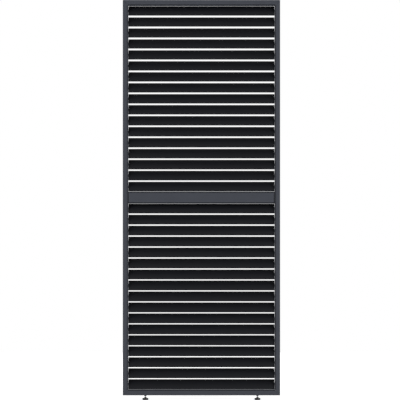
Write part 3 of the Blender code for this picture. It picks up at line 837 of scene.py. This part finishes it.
def dress_bearing_strips(finishes, pivots):
    """A strip of bearing collars on each side of each opening, with one collar for each blade."""
    opening_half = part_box("right_stile")[0].x
    for opening in OPENINGS:
        middle = box_middle(f"{opening}_right_bearing_strip").z
        length = box_size(f"{opening}_right_bearing_strip").z
        places = [
            Matrix.Translation((0.0, 0.0, pivot.z - middle)) @ Matrix.Rotation(math.pi / 2, 4, "Y")
            for blade, pivot in pivots.items()
            if blade.startswith(opening)
        ]
        strip = break_edges(prism([strip_section()], length), BROKEN_EDGE / 2)
        strip = combined(strip, gather([(collar_shape(), place) for place in places]), "UNION")
        strip = combined(strip, gather([(bore_shape(), place) for place in places]), "DIFFERENCE")
        mesh = finished_mesh(f"{opening}_bearing_strip", strip, finishes["black_nylon"])
        for hand, side, turn in (("right", 1, 0.0), ("left", -1, math.pi)):
            name = f"{opening}_{hand}_bearing_strip"
            face = Matrix.Translation((side * opening_half, 0.0, middle))
            place = face @ Matrix.Rotation(turn, 4, "Z")
            add_piece(f"{name}_with_collars", mesh, "frame", [name], place)


# Blades and their linkage


def lens(chord, thickness, tip_radius):
    """A slim lens with round tips, its chord along the drawing's y."""
    half_run = chord / 2 - tip_radius
    rise = thickness / 2 - tip_radius
    radius = (half_run**2 + rise**2) / (2 * rise)
    half_angle = math.asin(half_run / radius)
    offset = rise - radius
    points = []
    for side in (1, -1):
        start = 0.0 if side > 0 else math.pi
        face = arc(
            (side * offset, 0.0),
            radius + tip_radius,
            start - half_angle,
            start + half_angle,
            BLADE_ARC_STEPS,
        )
        tip = arc(
            (0.0, side * half_run),
            tip_radius,
            start + half_angle,
            start + math.pi - half_angle,
            TIP_STEPS,
        )
        points += face + tip[1:-1]
    return points


def pin_shape(radius, start, end, sides):
    """A pin along Z with chamfered ends."""
    chamfer = PIN_CHAMFER_SHARE * radius
    profile = [
        (0.0, start),
        (radius - chamfer, start),
        (radius, start + chamfer),
        (radius, end - chamfer),
        (radius - chamfer, end),
        (0.0, end),
    ]
    return lathe(profile, sides)


def crank_shape():
    """Both pivot shafts, the crank arm on the right one, and its pin, about the pivot axis."""
    opening_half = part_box("right_stile")[0].x
    crank_start = opening_half + STRIP_DEPTH + CRANK_GAP
    crank_end = crank_start + CRANK_THICKNESS
    shaft_end = opening_half + STRIP_DEPTH + SHAFT_STAND_OUT
    rod_thickness = box_size("upper_link_rod").x
    pin_end = crank_end + ROD_GAP + rod_thickness + PIN_STAND_OUT
    eye = (CRANK_REACH * math.cos(CRANK_LEAD), CRANK_REACH * math.sin(CRANK_LEAD))
    root = BLADE_HALF_LENGTH - SHAFT_ROOT
    arm = strap((0.0, 0.0), eye, CRANK_HUB_RADIUS, CRANK_EYE_RADIUS)
    crank = break_edges(prism([arm], CRANK_THICKNESS), BROKEN_EDGE)
    return gather(
        [
            (pin_shape(SHAFT_RADIUS, -shaft_end, -root, SHAFT_SIDES), along_x()),
            (pin_shape(SHAFT_RADIUS, root, crank_end, SHAFT_SIDES), along_x()),
            (crank, along_x(((crank_start + crank_end) / 2, 0.0, 0.0))),
            (pin_shape(PIN_RADIUS, crank_start, pin_end, PIN_SIDES), along_x((0.0, *eye))),
        ]
    )


def dress_blades(finishes, pivots):
    """A coated skin, two end caps and the bare cranks and shafts for each blade."""
    skin_half = BLADE_HALF_LENGTH - END_CAP_THICKNESS
    skin = prism([lens(BLADE_CHORD, BLADE_THICKNESS, BLADE_TIP_RADIUS)], 2 * skin_half)
    cap_outline = lens(
        BLADE_CHORD - 2 * END_CAP_INSET,
        BLADE_THICKNESS - 2 * END_CAP_INSET,
        BLADE_TIP_RADIUS - END_CAP_INSET,
    )
    cap_parts = []
    for side in (-1, 1):
        middle = side * (BLADE_HALF_LENGTH - END_CAP_THICKNESS / 2)
        cap = break_edges(prism([cap_outline], END_CAP_THICKNESS), BROKEN_EDGE)
        cap_parts.append((cap, along_x((middle, 0.0, 0.0))))
    lengthwise = [(break_edges(skin, BROKEN_EDGE / 2), along_x())]
    skin_mesh = finished_mesh("blade_skin", gather(lengthwise), finishes["blade_coat"])
    cap_mesh = finished_mesh("blade_end_caps", gather(cap_parts), finishes["black_nylon"])
    crank_mesh = finished_mesh("blade_crank", crank_shape(), finishes["mill_aluminium"])
    for blade, pivot in pivots.items():
        place = Matrix.Translation(pivot) @ Matrix.Rotation(-BLADE_TILT, 4, "X")
        add_piece(f"{blade}_skin", skin_mesh, blade, [blade], place)
        add_piece(f"{blade}_end_caps", cap_mesh, blade, [], place)
        add_piece(f"{blade}_crank", crank_mesh, blade, [], place)


def dress_link_rods(finishes, pivots):
    """The strap that joins an opening's cranks, with a hole round each crank's pin."""
    for opening in OPENINGS:
        name = f"{opening}_link_rod"
        low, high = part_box(name)
        middle = (low + high) / 2
        heights = [pivot.z for blade, pivot in pivots.items() if blade.startswith(opening)]
        drop = CRANK_REACH * math.sin(CRANK_LEAD - BLADE_TILT) - middle.z
        half = (high.z - low.z - ROD_WIDTH) / 2
        outline = strap((0.0, -half), (0.0, half), ROD_WIDTH / 2, ROD_WIDTH / 2)
        bore = PIN_RADIUS + BEARING_CLEARANCE
        holes = [circle((0.0, height + drop), bore, PIN_SIDES) for height in heights]
        rod = break_edges(prism([outline, *holes], high.x - low.x), BROKEN_EDGE)
        mesh = finished_mesh(f"{opening}_rod", rod, finishes["mill_aluminium"])
        add_piece(f"{name}_strap", mesh, name, [name], along_x(middle))


# Feet


def hexagon_rings(base, top):
    """Four rings round a chamfered hexagon about Z, with flats at its left and right."""
    half_side = math.pi / HEX_SIDES
    flat = HEX_FLATS / 2
    waist = flat / math.cos(half_side) - HEX_CHAMFER
    low = []
    high = []
    for index in range(PAD_SIDES):
        angle = 2 * math.pi * index / PAD_SIDES
        radius = flat / math.cos((angle + half_side) % (2 * half_side) - half_side)
        rise = (radius - waist) / HEX_CHAMFER * HEX_CHAMFER_RISE
        low.append((radius * math.cos(angle), radius * math.sin(angle), base + rise))
        high.append((radius * math.cos(angle), radius * math.sin(angle), top - rise))
    return [ring(waist, base, PAD_SIDES), low, high, ring(waist, top, PAD_SIDES)]


def hexagon(base, top):
    """A solid hexagon about Z between two heights."""
    rings = hexagon_rings(base, top)
    return joined_rings([ring(0.0, base, PAD_SIDES), *rings, ring(0.0, top, PAD_SIDES)])


def threaded_bar(base, top):
    """A metric thread about Z: a helical ridge, its root sunk into a round core."""
    shape = bmesh.new()
    minor = THREAD_RADIUS - THREAD_DEPTH
    root = minor - THREAD_ROOT
    profile = (
        (root, FLANK_START_SHARE),
        (THREAD_RADIUS, CREST_START_SHARE),
        (THREAD_RADIUS, CREST_END_SHARE),
        (root, 1.0),
    )
    turns = (top - base) / THREAD_PITCH - 1
    rows = []
    for index in range(math.floor(turns * THREAD_SIDES) + 1):
        angle = 2 * math.pi * index / THREAD_SIDES
        start = base + THREAD_PITCH * index / THREAD_SIDES
        row = []
        for radius, share in profile:
            z = start + share * THREAD_PITCH
            row.append(shape.verts.new((radius * math.cos(angle), radius * math.sin(angle), z)))
        rows.append(row)
    for first, second in zip(rows, rows[1:]):
        for index in range(len(profile)):
            shape.faces.new((first[index - 1], second[index - 1], second[index], first[index]))
    shape.faces.new(rows[0])
    shape.faces.new(rows[-1])
    bmesh.ops.recalc_face_normals(shape, faces=shape.faces)
    core = pin_shape(minor, base, top, THREAD_SIDES)
    return gather([(shape, Matrix()), (core, Matrix())])


def pad_shape(radius, height):
    """A turned foot pad with a tread rim, a domed shoulder and a socket for its stem."""
    rim = radius - PAD_CHAMFER
    waist = radius - PAD_GROOVE
    shoulder = (radius - PAD_SHOULDER, height - PAD_SHOULDER)
    profile = [
        (0.0, height - PAD_SOCKET_DEPTH),
        (PAD_SOCKET_RADIUS, height - PAD_SOCKET_DEPTH),
        (PAD_SOCKET_RADIUS, height - PAD_CHAMFER / 2),
        (PAD_SOCKET_RADIUS + PAD_CHAMFER / 2, height),
        *arc(shoulder, PAD_SHOULDER, math.pi / 2, 0.0, TIP_STEPS),
        (radius, PAD_RIM_HEIGHT + PAD_GROOVE),
        (waist, PAD_RIM_HEIGHT),
        (waist, PAD_RIM_HEIGHT - PAD_GROOVE),
        (radius, PAD_RIM_HEIGHT - 2 * PAD_GROOVE),
        (radius, PAD_CHAMFER),
        (rim, 0.0),
        (0.0, 0.0),
    ]
    return lathe(profile, PAD_SIDES)


def foot_nut_shape(low, high, rail_base):
    """A plate inside the rail, its neck, and the hexagon under the rail, about the stem."""
    plate_base = rail_base + FRAME_WALL + SEAT_GAP
    plate_height = high.z - plate_base
    bore = THREAD_RADIUS + BEARING_CLEARANCE
    outlines = [rectangle(high.x - low.x, high.y - low.y), circle((0.0, 0.0), bore, PAD_SIDES)]
    plate = break_edges(prism(outlines, plate_height), BROKEN_EDGE)
    hex_top = rail_base - SEAT_GAP
    hex_base = hex_top - NUT_HEX_HEIGHT
    rings = [
        ring(bore, hex_base, PAD_SIDES),
        *hexagon_rings(hex_base, hex_top),
        ring(NUT_NECK_RADIUS, hex_top, PAD_SIDES),
        ring(NUT_NECK_RADIUS, plate_base, PAD_SIDES),
        ring(bore, plate_base, PAD_SIDES),
    ]
    return gather(
        [
            (plate, Matrix.Translation((0.0, 0.0, plate_base + plate_height / 2))),
            (joined_rings(rings, closed=True), Matrix()),
        ]
    )


def dress_feet(finishes):
    """A pad, a threaded stem with its hexagon, and a nut at each end of the bottom rail."""
    rail_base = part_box("bottom_rail")[0].z
    for hand in ("left", "right"):
        pad = f"{hand}_foot_pad"
        stem = f"{hand}_foot_stem"
        nut = f"{hand}_foot_nut"
        low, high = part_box(pad)
        place = Matrix.Translation(((low.x + high.x) / 2, (low.y + high.y) / 2, 0.0))
        shape = pad_shape((high.y - low.y) / 2, high.z)
        mesh = finished_mesh(pad, shape, finishes["foot_plastic"])
        add_piece(f"{pad}_turned", mesh, pad, [pad], place)
        low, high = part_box(stem)
        mesh = finished_mesh(stem, threaded_bar(low.z, high.z), finishes["zinc_plate"])
        add_piece(f"{stem}_thread", mesh, stem, [stem], place)
        mesh = finished_mesh(f"{stem}_hex", hexagon(HEX_BASE, HEX_TOP), finishes["foot_plastic"])
        add_piece(f"{stem}_hexagon", mesh, stem, [], place)
        shape = foot_nut_shape(*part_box(nut), rail_base)
        mesh = finished_mesh(nut, shape, finishes["black_zinc"])
        add_piece(f"{nut}_turned", mesh, "frame", [nut], place)


# Screws, and what stays hidden


def screw_shape():
    """A countersunk screw with a blind hexagon socket, facing +Z, its head just below z = 0."""
    face = -SCREW_SINK
    edge = face - SCREW_CLEARANCE
    profile = [
        (0.0, face - SCREW_LENGTH),
        (SCREW_SHANK, face - SCREW_LENGTH),
        (SCREW_SHANK, edge + SCREW_SHANK - SCREW_RADIUS),
        (SCREW_RADIUS, edge),
        (SCREW_RADIUS - SCREW_CLEARANCE, face),
        (0.0, face),
    ]
    socket = prism([circle((0.0, 0.0), SCREW_SOCKET, HEX_SIDES)], 2 * SCREW_SOCKET_DEPTH)
    socket.transform(Matrix.Translation((0.0, 0.0, face)))
    return combined(lathe(profile, SHAFT_SIDES), socket, "DIFFERENCE")


def add_screws(finishes):
    """The screws of each profile's back face, as one piece a profile."""
    for profile, corners in screw_places().items():
        parts = [(screw_shape(), screw_place(corner)) for corner in corners]
        mesh = finished_mesh(f"{profile}_screws", gather(parts), finishes["zinc_plate"])
        add_piece(f"{profile}_screws", mesh, "frame")


def finish_hidden_nodes(frame, finishes):
    """The CAD nodes that stay, inside the profiles, get their slot's material."""
    slots = {part["node"]: part["material_slot"] for part in frame["record"]["subparts"]}
    for name, node in frame["nodes"].items():
        if not node.hide_render:
            node.data.materials.clear()
            node.data.materials.append(finishes[slots[name]])


# Studio


def strongest(tree, values):
    """The greatest of several node outputs."""
    result = values[0]
    for value in values[1:]:
        node = add_node(tree, "ShaderNodeMath", operation="MAXIMUM")
        tree.links.new(result, node.inputs[0])
        tree.links.new(value, node.inputs[1])
        result = node.outputs[0]
    return result


def add_sky():
    """White to the camera, soft to matt surfaces, and bright before and behind in gloss."""
    world = bpy.data.worlds.new("studio")
    bpy.context.scene.world = world
    world.use_nodes = True
    tree = world.node_tree
    background = tree.nodes["Background"]
    background.inputs["Color"].default_value = WHITE
    path = add_node(tree, "ShaderNodeLightPath")
    direction = add_node(tree, "ShaderNodeTexCoord")
    parts = add_node(tree, "ShaderNodeSeparateXYZ")
    forward = add_node(tree, "ShaderNodeMath", operation="ABSOLUTE")
    gloss = add_node(
        tree,
        "ShaderNodeMapRange",
        {"To Min": SKY_GLOSS_SIDE, "To Max": SKY_GLOSS_FRONT},
        interpolation_type="SMOOTHSTEP",
    )
    shine = strongest(tree, (path.outputs["Is Glossy Ray"], path.outputs["Is Transmission Ray"]))
    matt_or_gloss = add_node(tree, "ShaderNodeMix")
    matt_or_gloss.inputs["A"].default_value = SKY_LIGHT
    tree.links.new(direction.outputs["Generated"], parts.inputs["Vector"])
    tree.links.new(parts.outputs["Y"], forward.inputs[0])
    tree.links.new(forward.outputs[0], gloss.inputs["Value"])
    tree.links.new(shine, matt_or_gloss.inputs["Factor"])
    tree.links.new(gloss.outputs["Result"], matt_or_gloss.inputs["B"])
    level = strongest(tree, (matt_or_gloss.outputs["Result"], path.outputs["Is Camera Ray"]))
    tree.links.new(level, background.inputs["Strength"])


def add_floor():
    """A white floor that shows as white as the backdrop but keeps the object's shadow."""
    material, tree, shader = new_material("studio_floor")
    path = add_node(tree, "ShaderNodeLightPath")
    seen = strongest(
        tree,
        (
            path.outputs["Is Camera Ray"],
            path.outputs["Is Glossy Ray"],
            path.outputs["Is Transmission Ray"],
        ),
    )
    glow = add_node(tree, "ShaderNodeMath", {1: FLOOR_GLOW}, operation="MULTIPLY")
    tree.links.new(seen, glow.inputs[0])
    tree.links.new(glow.outputs[0], shader.inputs["Emission Strength"])
    shader.inputs["Emission Color"].default_value = WHITE
    shader.inputs["Base Color"].default_value = paint(FLOOR_COLOUR)
    shader.inputs["Roughness"].default_value = FLOOR_ROUGHNESS
    shader.inputs["Specular IOR Level"].default_value = 0.0
    corners = [(x, y, -FLOOR_DROP) for x, y in rectangle(FLOOR_SIZE, FLOOR_SIZE)]
    mesh = bpy.data.meshes.new("floor")
    mesh.from_pydata(corners, [], [(0, 1, 2, 3)])
    mesh.materials.append(material)
    floor = bpy.data.objects.new("floor", mesh)
    bpy.context.scene.collection.objects.link(floor)


def add_lamp(name, azimuth, power, target):
    """A square soft light at its azimuth, where 0 is the camera's side and 90 the right.

    Gloss shows the white surroundings and not the lamps, so that no flat face burns out.
    """
    turn = math.radians(azimuth)
    data = bpy.data.lights.new(name, "AREA")
    data.size = LAMP_SIZE
    data.energy = power
    lamp = bpy.data.objects.new(name, data)
    bpy.context.scene.collection.objects.link(lamp)
    lamp.visible_glossy = False
    lamp.location = (
        LAMP_DISTANCE * math.sin(turn),
        -LAMP_DISTANCE * math.cos(turn),
        LAMP_HEIGHT,
    )
    lamp.rotation_euler = (target - lamp.location).to_track_quat("-Z", "Y").to_euler()


def add_camera(front):
    """A level camera at its distance from the object's front, as wide as the view."""
    data = bpy.data.cameras.new("camera")
    data.sensor_width = SENSOR_WIDTH_MM
    data.lens = SENSOR_WIDTH_MM * CAMERA_DISTANCE / VIEW_WIDTH
    camera = bpy.data.objects.new("camera", data)
    bpy.context.scene.collection.objects.link(camera)
    camera.location = (CAMERA_SIDE, front - CAMERA_DISTANCE, CAMERA_HEIGHT)
    camera.rotation_euler = (math.pi / 2, 0.0, 0.0)
    bpy.context.scene.camera = camera


# The dressed screen
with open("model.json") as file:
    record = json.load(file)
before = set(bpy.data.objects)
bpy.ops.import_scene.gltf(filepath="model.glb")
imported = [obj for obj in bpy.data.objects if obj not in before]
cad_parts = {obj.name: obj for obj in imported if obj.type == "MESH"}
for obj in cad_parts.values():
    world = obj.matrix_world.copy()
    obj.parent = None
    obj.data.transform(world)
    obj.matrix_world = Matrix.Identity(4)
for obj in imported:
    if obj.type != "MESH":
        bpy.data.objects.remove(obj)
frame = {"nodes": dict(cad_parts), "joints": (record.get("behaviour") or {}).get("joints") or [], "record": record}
model_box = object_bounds()
pivots = {
    joint["child"]: Vector(joint["pos_m"])
    for joint in frame["joints"]
    if "_blade_" in joint["child"]
}
finishes = make_finishes()
dress_stiles(finishes)
dress_rails(finishes)
dress_mid_rail(finishes)
dress_bearing_strips(finishes, pivots)
dress_blades(finishes, pivots)
dress_link_rods(finishes, pivots)
dress_feet(finishes)
add_screws(finishes)
finish_hidden_nodes(frame, finishes)
add_sky()
add_floor()
lamp_target = box_middle("mid_rail")
add_lamp("left_lamp", -FRONT_LAMP_AZIMUTH, LEFT_LAMP_POWER, lamp_target)
add_lamp("right_lamp", FRONT_LAMP_AZIMUTH, RIGHT_LAMP_POWER, lamp_target)
add_lamp("left_rear_lamp", -REAR_LAMP_AZIMUTH, REAR_LAMP_POWER, lamp_target)
add_lamp("right_rear_lamp", REAR_LAMP_AZIMUTH, REAR_LAMP_POWER, lamp_target)
add_camera(model_box[0].y)
bpy.context.scene.view_settings.view_transform = "Standard"
